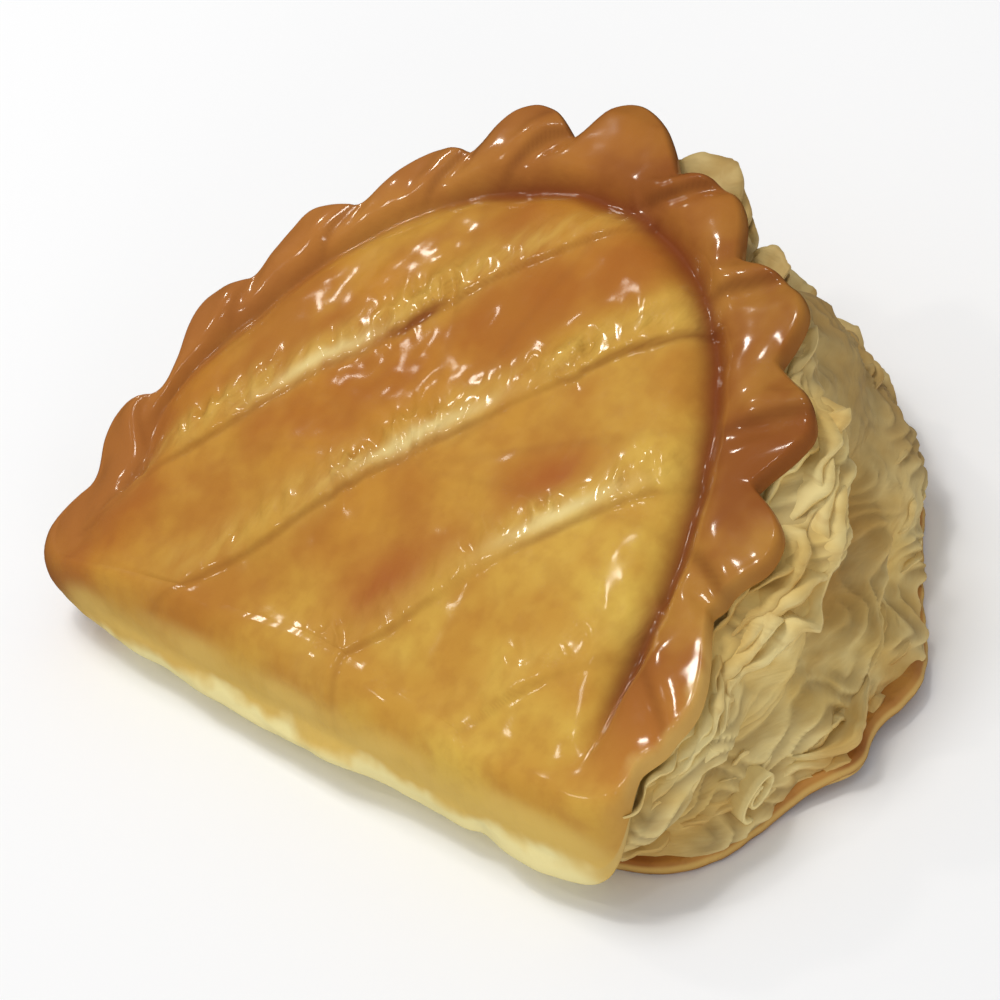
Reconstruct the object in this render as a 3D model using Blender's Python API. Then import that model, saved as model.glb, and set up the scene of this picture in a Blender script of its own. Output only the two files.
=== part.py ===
"""An apple turnover: a half-moon of puff pastry folded over its filling.

The straight side is the fold. It lies along X, is smooth and only as thick as
a finger. The curved side is the open edge, where the two sheets were pressed
together with the fingers and then rose in the oven: the top crust stands
almost three times as high there, its rim is scalloped, and crags of flaky
layers show between it and the browned bottom sheet.

The whole surface is one ball of quads whose rows are moved to named stations:
down the pillowed crust, over the rim, down the flaky wall and in under the
flat base. A Decimate modifier then keeps the faces where the form needs them.
"""
import functools
import math

import bmesh
import bpy

# Driving sizes, in metres, and angles in degrees round a centre on the middle
# line. X runs along the fold and Y from the fold to the curved edge.
FOLD_LINE_Y = -0.0010
CENTRE_Y = 0.0300
CRUST_HALF_WIDTH = 0.0610
CRUST_DEPTH = 0.0775
CRUST_MIDDLE = (-0.0013, 0.0086)
CRUST_SQUARENESS = 2.1
CRUST_CORNER = 10.6
FOLD_HEIGHT = 0.0156
OPEN_HEIGHT = 0.0447
RISE_LENGTH = 0.0861
BASE_HALF_WIDTH = 0.0676
BASE_DEPTH = 0.0835
BASE_MIDDLE = (-0.0008, 0.0086)
BASE_SQUARENESS = 2.2
BASE_CORNER = 4.0
BASE_FOLD_Y = 0.0015

# The scalloped rim: how far each finger-wide lobe reaches past the half-moon,
# from the left tip round to the right-hand corner, and the notch after it.
LOBES = (
    (203.4, 0.0012), (190.1, -0.0036), (170.9, -0.0008), (149.5, 0.0004),
    (130.7, 0.0006), (113.0, 0.0031), (98.3, 0.0034), (67.0, -0.0018),
    (44.3, 0.0008), (27.5, 0.0024), (10.3, 0.0019), (-7.7, -0.0007),
    (-21.2, 0.0009),
)
NOTCHES = (
    (199.5, -0.0098), (184.0, -0.0076), (160.5, -0.0034), (138.7, -0.0033),
    (123.2, -0.0040), (105.3, -0.0035), (81.2, -0.0059), (59.6, -0.0060),
    (38.9, -0.0038), (18.0, -0.0040), (1.8, -0.0043), (-15.8, -0.0014),
)
LOBE_ROUNDNESS = 0.70

# Where the browned bottom sheet runs out further or less far than its
# half-moon: angle, reach and half-width in degrees of each swell.
FOOT_SWELLS = (
    (17.0, 0.0052, 9.0), (3.0, 0.0042, 4.5), (-12.0, -0.0026, 12.0),
    (84.0, 0.0022, 14.0), (118.0, 0.0018, 11.0), (152.0, 0.0022, 13.0),
    (181.0, 0.0016, 9.0),
)

# The pressed groove inside the rim, and the four slashes across the crust.
RIM_WIDTH = 0.0104
RIM_UNEVEN = 0.0022
RIM_WIDEST = 20.0
TIP_RIM = 0.0065
TIP_RIM_ANGLE = 198.0
TIP_RIM_SPREAD = 9.0
FOLD_RIM = 0.0075
GROOVE_DEPTH = 0.0019
GROOVE_HALF_WIDTH = 0.0022
RIM_CROWN = 0.0008
NOTCH_FURROW = 0.0012
FURROW_SPREAD = 2.6
PILLOW = 0.0032
SLASH_HEADING = 48.5
SLASH_OFFSETS = (-0.0445, -0.0225, -0.0002, 0.0196)
SLASH_DEPTH = 0.0007
SLASH_HALF_WIDTH = 0.0020
SLASH_SWELL = 0.0011
SLASH_BANK = 0.0065
SLASH_START_Y = 0.0015

# The left tip hangs lower than the rest of the crust.
TIP = (-0.0633, 0.0026)
TIP_DROOP = 0.0055
TIP_REACH = 0.0140

# The flaky wall under the open edge, as shares of its own height: the upper
# lip of torn layers, the hollow under it and the ledges of the lower layers.
LIP_REACH = 0.0016
HOLLOW_DEPTH = 0.0048
HOLLOW_DEEPEST = 48.0
HOLLOW_SPREAD = 38.0
BLISTER = 0.0030
BLISTER_ANGLE = 4.0
BLISTER_SPREAD = 11.0
LEDGE_REACH = 0.0016
LEDGES = 5
CRAG = 0.0009
FOLD_BULGE = 0.0008
FOLD_PUFF = 0.0022
FOLD_PUFF_X = 0.0400
FOLD_PUFF_LENGTH = 0.0120
EDGE_ROLL = 0.0026
FOLD_ROLL = 0.0065
HEEL = 0.0014

# Mesh: segments round, and rows for each stretch of the section.
SEGMENTS = 300
DOME_ROWS = 60
RIM_ROWS = 18
EDGE_ROWS = 8
WALL_ROWS = 40
HEEL_ROWS = 4
BASE_ROWS = 8
TARGET_TRIANGLES = 11400


def smooth(low, high, value):
    """Ease from 0 at low to 1 at high."""
    share = min(1.0, max(0.0, (value - low) / (high - low)))
    return share * share * (3.0 - 2.0 * share)


def bell(distance, width):
    """A soft bump of height 1 that has faded at about twice its width."""
    return math.exp(-(distance / width) ** 2)


def half_moon(angle, middle, half_width, depth, squareness, fold_y, corner):
    """Distance from the centre to a half-moon's outline at this angle."""
    run, rise = math.cos(angle), math.sin(angle)
    near, far = 0.0, 2.0 * half_width
    for _ in range(30):
        reach = 0.5 * (near + far)
        across = abs((reach * run - middle[0]) / half_width)
        along = max(0.0, (CENTRE_Y + reach * rise - middle[1]) / depth)
        if across ** squareness + along ** squareness > 1.0:
            far = reach
        else:
            near = reach
    if rise >= -0.01:
        return near
    cut = (CENTRE_Y - fold_y) / -rise
    return (near ** -corner + cut ** -corner) ** (-1.0 / corner)


def around(angle):
    """The angle in degrees, counted from -90 at the fold up to 270."""
    return (math.degrees(angle) + 90.0) % 360.0 - 90.0


@functools.lru_cache(maxsize=None)
def crust_outline(angle):
    return half_moon(angle, CRUST_MIDDLE, CRUST_HALF_WIDTH, CRUST_DEPTH,
                     CRUST_SQUARENESS, FOLD_LINE_Y, CRUST_CORNER)


@functools.lru_cache(maxsize=None)
def base_outline(angle):
    plain = half_moon(angle, BASE_MIDDLE, BASE_HALF_WIDTH, BASE_DEPTH,
                      BASE_SQUARENESS, BASE_FOLD_Y, BASE_CORNER)
    return plain + sum(reach * bell(around(angle) - place, width)
                       for place, reach, width in FOOT_SWELLS)


def openness(angle):
    """1 along the open edge, 0 along the fold, eased at both corners."""
    degrees = around(angle)
    return smooth(-34.0, -14.0, degrees) * (1.0 - smooth(194.0, 212.0, degrees))


def scallop(angle):
    """How far the lobed rim stands past the half-moon at this angle."""
    degrees = around(angle)
    for index, (notch, low) in enumerate(NOTCHES):
        before, after = LOBES[index], LOBES[index + 1]
        if before[0] >= degrees >= notch:
            share = (degrees - notch) / (before[0] - notch)
            return low + (before[1] - low) * math.sin(0.5 * math.pi * share) ** LOBE_ROUNDNESS
        if notch >= degrees >= after[0]:
            share = (notch - degrees) / (notch - after[0])
            return low + (after[1] - low) * math.sin(0.5 * math.pi * share) ** LOBE_ROUNDNESS
    first, last = LOBES[0], LOBES[-1]
    if degrees > first[0]:
        return first[1] * (1.0 - smooth(first[0], first[0] + 8.0, degrees))
    return last[1] * smooth(last[0] - 9.0, last[0], degrees)


def ring_reach(angle):
    """Distance to the pressed groove, which runs smoothly inside the lobes."""
    turn = math.radians(around(angle) - RIM_WIDEST)
    width = RIM_WIDTH + RIM_UNEVEN * math.cos(turn)
    width += TIP_RIM * bell(around(angle) - TIP_RIM_ANGLE, TIP_RIM_SPREAD)
    share = openness(angle)
    return crust_outline(angle) - share * width - (1.0 - share) * FOLD_RIM


def notch_nearness(angle):
    """1 at a notch of the rim, falling to 0 a few degrees off."""
    degrees = around(angle)
    return max(bell(degrees - notch, FURROW_SPREAD) for notch, _ in NOTCHES)


def crust_plane(x, y):
    """Height of the crust's tilted plane, low at the fold and at the tip."""
    rise = (OPEN_HEIGHT - FOLD_HEIGHT) * min(1.0, max(0.0, y / RISE_LENGTH))
    off_tip = math.hypot(x - TIP[0], y - TIP[1])
    return FOLD_HEIGHT + rise - TIP_DROOP * bell(off_tip, TIP_REACH)


def slashes(x, y):
    """The four cuts: the crust swells towards each from the left, then steps down."""
    heading = math.radians(SLASH_HEADING)
    offset = x * math.sin(heading) - y * math.cos(heading)
    height = 0.0
    for place in SLASH_OFFSETS:
        aside = offset - place
        height -= SLASH_DEPTH * bell(aside, SLASH_HALF_WIDTH)
        if aside < 0.0:
            height += SLASH_SWELL * bell(aside, SLASH_BANK) * smooth(0.0, SLASH_HALF_WIDTH, -aside)
    return height * smooth(SLASH_START_Y - 0.003, SLASH_START_Y + 0.006, y)


def crust_height(angle, reach, ring, edge):
    """Height of the top crust at a distance from the centre."""
    x = reach * math.cos(angle)
    y = CENTRE_Y + reach * math.sin(angle)
    share = min(1.0, reach / ring)
    steep = 1.0 - share ** 3.6
    gentle = (1.0 - share ** 2) ** 2
    pillow = PILLOW * (gentle + (steep - gentle) * openness(angle))
    groove = -GROOVE_DEPTH * bell(reach - ring, GROOVE_HALF_WIDTH) * openness(angle)
    on_rim = min(1.0, max(0.0, (reach - ring) / (edge - ring)))
    crown = RIM_CROWN * math.sin(math.pi * on_rim) * openness(angle)
    furrow = -NOTCH_FURROW * notch_nearness(angle) * smooth(0.0, 0.8, on_rim)
    on_dome = 1.0 - 0.7 * smooth(0.0, 0.25, on_rim)
    return crust_plane(x, y) + pillow + groove + crown + furrow + slashes(x, y) * on_dome


def ledges(angle, drop):
    """In and out of the torn layers, which run level with slow waves."""
    wave = 0.35 * math.sin(3.0 * angle + 0.6) + 0.22 * math.sin(7.0 * angle + 1.9)
    place = LEDGES * drop + wave
    saw = place - math.floor(place)
    step = saw / 0.22 if saw < 0.22 else (1.0 - saw) / 0.78
    crag = math.sin(23.0 * angle + 9.0 * drop) * math.sin(37.0 * angle - 14.0 * drop + 1.0)
    return LEDGE_REACH * (step - 0.5) + CRAG * crag


def fold_puff(angle):
    """The fold blows out a little just before the right-hand corner."""
    if math.sin(angle) >= 0.0:
        return 0.0
    x_on_fold = (FOLD_LINE_Y - CENTRE_Y) / math.tan(angle)
    return FOLD_PUFF * bell(x_on_fold - FOLD_PUFF_X, FOLD_PUFF_LENGTH)


def wall_reach(angle, drop, edge, foot):
    """Distance out of the wall at a drop from 0 at the rim to 1 at the base."""
    degrees = around(angle)
    lobed = 1.0 - 0.85 * smooth(0.0, 0.14, drop)
    rim = crust_outline(angle) + (edge - crust_outline(angle)) * lobed
    reach = rim + (foot - rim) * smooth(0.42, 0.95, drop)
    shown = 1.0 - 0.8 * smooth(84.0, 104.0, degrees)
    lip = LIP_REACH * shown * bell(drop - 0.16, 0.12)
    deepest = 0.55 + 0.45 * bell(degrees - HOLLOW_DEEPEST, HOLLOW_SPREAD)
    hollow = HOLLOW_DEPTH * deepest * bell(drop - 0.48, 0.18)
    blister = BLISTER * bell(degrees - BLISTER_ANGLE, BLISTER_SPREAD) * bell(drop - 0.40, 0.14)
    fade = smooth(0.0, 0.12, drop) * (1.0 - smooth(0.94, 1.0, drop))
    flaky = lip - hollow + blister + ledges(angle, drop) * fade
    rolled = (FOLD_BULGE + fold_puff(angle)) * math.sin(math.pi * drop)
    open_share = openness(angle)
    return reach + open_share * flaky + (1.0 - open_share) * rolled


def section(angle, row):
    """Distance out and height of one row of the surface at this angle."""
    edge = crust_outline(angle) + scallop(angle)
    foot = base_outline(angle)
    ring = ring_reach(angle)
    open_share = openness(angle)
    roll = FOLD_ROLL + (EDGE_ROLL - FOLD_ROLL) * open_share
    roll_out = roll * (1.0 - 0.4 * open_share)
    top_end = edge - roll_out
    if row <= DOME_ROWS:
        reach = ring * row / DOME_ROWS
        return reach, crust_height(angle, reach, ring, edge)
    row -= DOME_ROWS
    if row <= RIM_ROWS:
        reach = ring + (top_end - ring) * row / RIM_ROWS
        return reach, crust_height(angle, reach, ring, edge)
    row -= RIM_ROWS
    rim_top = crust_height(angle, top_end, ring, edge)
    if row <= EDGE_ROWS:
        turn = 0.5 * math.pi * row / EDGE_ROWS
        return top_end + roll_out * math.sin(turn), rim_top - roll * (1.0 - math.cos(turn))
    row -= EDGE_ROWS
    wall_top = rim_top - roll
    if row <= WALL_ROWS:
        drop = row / WALL_ROWS
        return wall_reach(angle, drop, edge, foot), wall_top + (HEEL - wall_top) * drop
    row -= WALL_ROWS
    if row <= HEEL_ROWS:
        turn = 0.5 * math.pi * row / HEEL_ROWS
        return foot - HEEL * (1.0 - math.cos(turn)), HEEL * (1.0 - math.sin(turn))
    row -= HEEL_ROWS
    return (foot - HEEL) * (1.0 - row / BASE_ROWS), 0.0


def clear_scene():
    for old in list(bpy.data.objects):
        bpy.data.objects.remove(old, do_unlink=True)


def pastry_material():
    material = bpy.data.materials.new("baked_pastry")
    material.use_nodes = True
    shader = material.node_tree.nodes["Principled BSDF"]
    shader.inputs["Base Color"].default_value = (0.47, 0.23, 0.055, 1.0)
    shader.inputs["Roughness"].default_value = 0.42
    shader.inputs["Metallic"].default_value = 0.0
    return material


def turnover_mesh():
    """A ball of quads, moved row by row onto the turnover's surface."""
    rows = DOME_ROWS + RIM_ROWS + EDGE_ROWS + WALL_ROWS + HEEL_ROWS + BASE_ROWS
    body = bmesh.new()
    bmesh.ops.create_uvsphere(body, u_segments=SEGMENTS, v_segments=rows, radius=1.0)
    for point in body.verts:
        x, y, z = point.co
        row = round(rows * math.acos(max(-1.0, min(1.0, z))) / math.pi)
        angle = round(math.atan2(y, x), 5) if 0 < row < rows else 0.0
        reach, height = section(angle, row)
        point.co = (reach * math.cos(angle), CENTRE_Y + reach * math.sin(angle), height)
    low = [min(point.co[axis] for point in body.verts) for axis in range(3)]
    high = [max(point.co[axis] for point in body.verts) for axis in range(3)]
    middle = [0.5 * (low[axis] + high[axis]) for axis in range(2)]
    bmesh.ops.translate(body, vec=(-middle[0], -middle[1], 0.0), verts=body.verts)
    mesh = bpy.data.meshes.new("turnover")
    body.to_mesh(mesh)
    body.free()
    return mesh


def build():
    clear_scene()
    collection = bpy.data.collections.new("apple_turnover")
    bpy.context.scene.collection.children.link(collection)
    mesh = turnover_mesh()
    mesh.materials.append(pastry_material())
    mesh.shade_smooth()
    pastry = bpy.data.objects.new("turnover", mesh)
    collection.objects.link(pastry)
    triangles = sum(len(face.vertices) - 2 for face in mesh.polygons)
    thin = pastry.modifiers.new("even_faces", "DECIMATE")
    thin.ratio = TARGET_TRIANGLES / triangles
    thin.use_collapse_triangulate = True


build()
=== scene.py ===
# %% [markdown] # Dressing an apple turnover The packed model gives the turnover's true size
# and place. This script keeps that frame and models what the eye sees: a glazed crust with
# slashes, a pressed rim, a wall of torn layers and the browned sheet underneath. Every piece
# goes where the frame says, so nothing is fitted afterwards.

# %% Load the frame
import itertools
import math

import bmesh
import bpy
import numpy as np
from mathutils import Matrix, Vector


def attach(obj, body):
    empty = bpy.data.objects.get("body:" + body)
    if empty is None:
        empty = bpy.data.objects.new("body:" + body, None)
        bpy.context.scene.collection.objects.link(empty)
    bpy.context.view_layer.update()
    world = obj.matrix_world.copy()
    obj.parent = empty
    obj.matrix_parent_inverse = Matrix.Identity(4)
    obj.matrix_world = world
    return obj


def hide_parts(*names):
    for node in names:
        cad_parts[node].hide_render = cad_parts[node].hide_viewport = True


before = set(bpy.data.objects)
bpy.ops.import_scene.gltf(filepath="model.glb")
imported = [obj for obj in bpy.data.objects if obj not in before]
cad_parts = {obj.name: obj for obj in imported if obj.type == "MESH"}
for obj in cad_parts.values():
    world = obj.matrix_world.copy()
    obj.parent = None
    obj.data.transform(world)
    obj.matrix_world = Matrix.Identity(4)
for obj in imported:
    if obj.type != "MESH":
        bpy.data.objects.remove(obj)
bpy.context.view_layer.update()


def mm(metres):
    """A length for the printed notes."""
    return round(1000 * float(metres), 1)


# %% [markdown]
# ## The half-moon in numbers
# A turnover is a round of dough folded in half, so its plan is a half-moon. All outlines are
# told as a distance from one centre at each angle round it. Angles run from -90 degrees at the
# fold, through 0 at the right, 90 at the middle of the open edge and 180 at the left tip.
# A list of traced points would look the same here, but it could not be changed by one number.

# %% Driving sizes
PLAN_ORIGIN = Vector((0.00075, -0.04636, 0.0))  # middle of the fold line, in the frame
CENTRE_Y = 0.0300
FOLD_Y = -0.0010
CRUST = dict(middle=(-0.0013, 0.0086), half_width=0.0610, depth=0.0775, square=2.1, corner=10.6)
FOOT = dict(middle=(-0.0008, 0.0086), half_width=0.0676, depth=0.0835, square=2.2, corner=4.0)
FOOT_FOLD_Y = 0.0015
FOLD_HEIGHT = 0.0156
OPEN_HEIGHT = 0.0447
RISE_LENGTH = 0.0861
LOBES = (  # angle of each lobe and how far it stands out from the half-moon
    (202.5, 0.0002), (189.0, -0.0018), (169.0, 0.0004), (151.0, 0.0013),
    (131.5, 0.0005), (115.0, 0.0034), (99.0, 0.0039), (72.5, -0.0015),
    (46.8, 0.0009), (28.0, 0.0022), (11.6, 0.0019), (-11.5, 0.0010),
    (-25.0, 0.0004),
)
NOTCHES = (  # the same for the finger marks between them
    (196.8, -0.0048), (182.5, -0.0058), (161.8, -0.0018), (143.0, -0.0026),
    (124.0, -0.0024), (106.2, -0.0023), (83.0, -0.0042), (60.8, -0.0056),
    (39.5, -0.0034), (19.0, -0.0042), (0.8, -0.0045), (-19.5, -0.0015),
)
FOOT_SWELLS = (  # angle, how far the bottom spreads there and over how many degrees
    (17.0, 0.0052, 9.0), (3.0, 0.0042, 4.5), (-12.0, -0.0026, 12.0),
    (84.0, 0.0022, 14.0), (118.0, 0.0018, 11.0), (152.0, 0.0012, 13.0),
    (183.0, -0.0034, 13.0),
)
print("lobes on the rim:", len(LOBES))

# %% [markdown]
# ## Three small helpers
# Baked dough has no hard steps. A soft step, a soft bump and a blend of two values are enough
# to say where it swells, sinks and browns, and they work on whole arrays of points at once.

# %% Small helpers
def smooth(low, high, value):
    """A soft step, from 0 at `low` to 1 at `high`."""
    share = np.clip((value - low) / (high - low), 0.0, 1.0)
    return share * share * (3.0 - 2.0 * share)


def bell(distance, width):
    """A soft bump, 1 in its middle."""
    return np.exp(-(distance / width) ** 2)


def blend(first, second, share):
    """From `first` at a share of 0 to `second` at 1."""
    return first + (second - first) * share


print("a soft step, a quarter of the way up:", smooth(0.0, 1.0, 0.25))

# %% [markdown]
# ## Outlines
# The dough is a rounded half-moon, and its open edge was pressed shut with the fingers. The
# lobes between the finger marks are broad and round, and the notches are sharper. A superellipse
# cut by the fold line gives the plain half-moon with only a few numbers to choose.

# %% Outlines
HALVINGS = 30


def half_moon(degrees, fold_y, middle, half_width, depth, square, corner):
    """Reach to the half-moon at each angle, closed in on by halving."""
    run, rise = np.cos(np.radians(degrees)), np.sin(np.radians(degrees))
    near, far = np.zeros_like(run), np.full_like(run, 2.0 * half_width)
    for _ in range(HALVINGS):
        reach = 0.5 * (near + far)
        across = np.abs((reach * run - middle[0]) / half_width)
        along = np.maximum(0.0, (CENTRE_Y + reach * rise - middle[1]) / depth)
        outside = across ** square + along ** square > 1.0
        far = np.where(outside, reach, far)
        near = np.where(outside, near, reach)
    cut = (CENTRE_Y - fold_y) / np.maximum(-rise, 0.01)
    rounded = (near ** -corner + cut ** -corner) ** (-1.0 / corner)
    return np.where(rise < -0.01, rounded, near)


def openness(degrees, first=-34.0, last=-14.0):
    """1 along the open edge, 0 along the fold."""
    return smooth(first, last, degrees) * (1.0 - smooth(194.0, 212.0, degrees))


def scallop(degrees):
    """How far the lobes and notches move the edge."""
    reach = np.where(degrees > 90.0,
                     LOBES[0][1] * (1.0 - smooth(LOBES[0][0], LOBES[0][0] + 8.0, degrees)),
                     LOBES[-1][1] * smooth(LOBES[-1][0] - 9.0, LOBES[-1][0], degrees))
    for index, (notch, low) in enumerate(NOTCHES):
        for lobe, high in (LOBES[index], LOBES[index + 1]):
            share = np.clip((degrees - notch) / (lobe - notch), 0.0, 1.0)
            inside = (np.minimum(notch, lobe) <= degrees) & (degrees <= np.maximum(notch, lobe))
            sharp, soft = np.sin(0.5 * np.pi * share), 0.5 - 0.5 * np.cos(np.pi * share)
            bulge = low + (high - low) * blend(sharp, soft, 0.35 + 0.65 * smooth(118.0, 140.0, degrees))
            reach = np.where(inside, bulge, reach)
    return reach


print("deepest notch, mm:", mm(scallop(np.linspace(0.0, 180.0, 361)).min()))

# %% [markdown]
# ## Outlines as tables
# Each outline is worked out once for a ring of angles and then read back with `np.interp`.
# That keeps the shape functions short, and fast enough for meshes of many thousand points.
# The foot spreads past the crust in places, and the groove runs inside the rim.

# %% Outline tables
TURN = np.linspace(-90.0, 270.0, 1441)
CRUST_LINE = half_moon(TURN, FOLD_Y, **CRUST)
EDGE_LINE = CRUST_LINE + scallop(TURN)
FOOT_LINE = half_moon(TURN, FOOT_FOLD_Y, **FOOT)
for place, reach, width in FOOT_SWELLS:
    FOOT_LINE = FOOT_LINE + reach * bell(TURN - place, width)
rim_width = 0.0104 + 0.0022 * np.cos(np.radians(TURN - 20.0)) + 0.0065 * bell(TURN - 198.0, 9.0)
RING_LINE = CRUST_LINE - openness(TURN) * rim_width - (1.0 - openness(TURN)) * 0.0075


def read(line, degrees):
    """What a line says at each angle."""
    return np.interp(degrees, TURN, line)


def around(reach, degrees, height):
    """Points in space, from their reach, angle and height."""
    angle = np.radians(degrees)
    return np.stack([reach * np.cos(angle), CENTRE_Y + reach * np.sin(angle), height + 0.0 * angle], 1)


print("widest crust reach, mm:", mm(EDGE_LINE.max()))

# %% [markdown]
# ## Noise for whole arrays
# Dough swells and wrinkles at random. Blender's own noise takes one point at a time, which is
# slow for a mesh this fine. Here the same idea, a slope at each corner of a lattice blended
# inside each cell, runs on whole arrays. A fixed seed gives the same pastry on every run.

# %% Noise
LATTICE = np.random.default_rng(12).normal(size=(32, 32, 32, 3))
LATTICE /= np.linalg.norm(LATTICE, axis=3, keepdims=True)


def noise_at(points, size, stretch=(1.0, 1.0, 1.0), octaves=2, seed=0.0):
    """Smooth noise of about -1 to 1 at each point, with features about `size` metres long."""
    place = points * np.array(stretch) / size + seed
    total, gain = np.zeros(len(place)), 1.8
    for _ in range(octaves):
        cell = np.floor(place).astype(int)
        part = place - cell
        ease = part ** 3 * (part * (part * 6.0 - 15.0) + 10.0)
        for corner in itertools.product((0, 1), repeat=3):
            slope = LATTICE[tuple(((cell + corner) % 32).T)]
            weight = np.prod(np.where(np.array(corner) == 1, ease, 1.0 - ease), axis=1)
            total += gain * weight * np.sum(slope * (part - corner), axis=1)
        place, gain = 2.0 * place + 5.3, 0.5 * gain
    return total


def laid_flat(x, y):
    """Points on the table, for noise that should not change with height."""
    return np.stack([x, y, 0.0 * x], 1)


print("noise spread:", round(float(noise_at(around(0.05, TURN, 0.0), 0.01).std()), 2))

# %% [markdown]
# ## Slashes
# The top was slashed with a knife so that steam could leave. At each slash the dough swells up
# from the left and then steps down, its bank is crinkled, and where it stretched while it baked
# it stays pale. A loop over four slashes adds up their heights and their masks, all told along
# and across one common heading, so that they can be turned together.

# %% Slashes
SLASH_HEADING = math.radians(48.5)
SLASHES = ((-0.0445, 0.9), (-0.0225, 1.1), (-0.0002, 0.8), (0.0196, 0.55))  # place and strength
STRETCHED = {0: (0.0105, 0.0080), 1: (0.0235, 0.0095), 2: (0.0410, 0.0085)}  # middle and half length
SLIT = (0, 0.0250, 0.0034)  # slash, middle and half length


def slash_coordinates(x, y):
    """How far along the slashes a place lies, and how far across them."""
    along = x * math.cos(SLASH_HEADING) + y * math.sin(SLASH_HEADING)
    across = x * math.sin(SLASH_HEADING) - y * math.cos(SLASH_HEADING)
    return along, across


def slash_relief(x, y):
    """Height of the slashes, with masks for the painted shade along the cut, the bank and the stretched
    dough.
    """
    flat = laid_flat(x, y)
    along, across = slash_coordinates(x, y)
    across = across + 0.0007 * noise_at(flat, 0.022, octaves=3, seed=4.0)
    height, crease, bank, torn = 0.0 * x, 0.0 * x, 0.0 * x, 0.0 * x
    for index, (place, strength) in enumerate(SLASHES):
        aside = across - place
        line = laid_flat(along, 0.0 * x + 3.0 * index)
        strength = strength * np.clip(0.85 + 0.7 * noise_at(line, 0.026, seed=9.0), 0.25, 1.4)
        swell = np.where(aside < 0.0, bell(aside, 0.0062), 1.0 - smooth(0.0, 0.0012, aside))
        height = height + strength * 0.0008 * swell
        # painted shade: a thin dark line along the foot of each slash's step, where the step falls into
        # shade
        crease = np.maximum(crease, (strength - 0.3) * bell(aside - 0.0007, 0.00040))
        bank = np.maximum(bank, np.minimum(1.0, strength) * bell(aside + 0.0026, 0.0034))
        if index in STRETCHED:
            middle, half_length = STRETCHED[index]
            pale = bell(along - middle, half_length) * bell(aside + 0.0012, 0.0013)
            torn = np.maximum(torn, pale)
        if index == SLIT[0]:
            slit = bell(along - SLIT[1], SLIT[2]) ** 0.5 * bell(aside - 0.0002, 0.0006)
            height = height - 0.0007 * slit
            # painted shade: the slit is darkened as deep shade, on top of its small dent
            crease = np.maximum(crease, 2.2 * slit)
    started = smooth(-0.0015, 0.0075, y)
    risen = smooth(0.002, 0.022, y)
    return height * started, crease * started, bank * started * blend(0.35, 1.0, risen), torn * risen


print("slashes:", len(SLASHES))

# %% [markdown]
# ## Press marks
# Each finger left a crease that runs across the rim, from the groove out to a notch. It is a
# ridge with a small step down on its right. The line leans, so the angle is blended on its way.
# A sculpting brush could draw them too, but they have to meet the notches, and a loop over
# their angles keeps them there.

# %% Press marks
CREASES = (  # angle at the groove, angle at the edge and strength
    (207.0, 197.0, 0.3), (193.0, 183.0, 0.6), (172.0, 162.0, 0.5), (154.0, 143.0, 0.6),
    (134.0, 124.0, 0.7), (119.0, 106.3, 0.9), (88.5, 75.6, 1.0), (58.7, 53.5, 1.0),
    (28.6, 30.3, 1.0), (9.0, 3.0, 0.9), (-9.0, -15.0, 0.5),
)


def crease_relief(degrees, reach, on_rim):
    """The press marks on the rim: a ridge and a small step down on its right, with a mask of painted shade
    along each crease.
    """
    height, crease = 0.0 * degrees, 0.0 * degrees
    for inner, outer, strength in CREASES:
        line = inner + (outer - inner) * on_rim ** 0.8
        aside = np.radians(degrees - line) * reach
        ridge = bell(aside - 0.0016, 0.0024) - 0.9 * bell(aside + 0.0016, 0.0022)
        step = np.where(aside > 0.0, bell(aside, 0.0012), bell(aside, 0.0005))
        height = height + strength * (0.0009 * ridge + 0.0003 * step)
        # painted shade: a dark band in each crease, where the step falls into shade
        crease = np.maximum(crease, strength * bell(aside + 0.0004, 0.0008))
    return height * smooth(0.0, 0.5, on_rim), crease * smooth(-0.1, 0.3, on_rim)


print("creases:", len(CREASES))

# %% [markdown]
# ## Height of the crust
# Seen from the side the crust is a tilted plane, low at the fold. On it lie a soft pillow, the
# groove, the slashes and the press marks. Heights that are added up can each be tuned alone,
# which is harder with a sculpted mesh, and the same functions give the masks for the colours.

# %% Crust height
TIP = (-0.0633, 0.0026)  # middle of the left tip, where the crust sinks


def crust_plane(x, y):
    """The tilted plane under all the relief."""
    climb = 0.5 * (y + np.hypot(y, 0.0060))
    rise = (OPEN_HEIGHT - FOLD_HEIGHT) * np.minimum(climb / RISE_LENGTH, 1.0)
    off_tip = np.hypot(x - TIP[0], y - TIP[1])
    return FOLD_HEIGHT + rise - 0.0055 * bell(off_tip, 0.0140)


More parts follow.
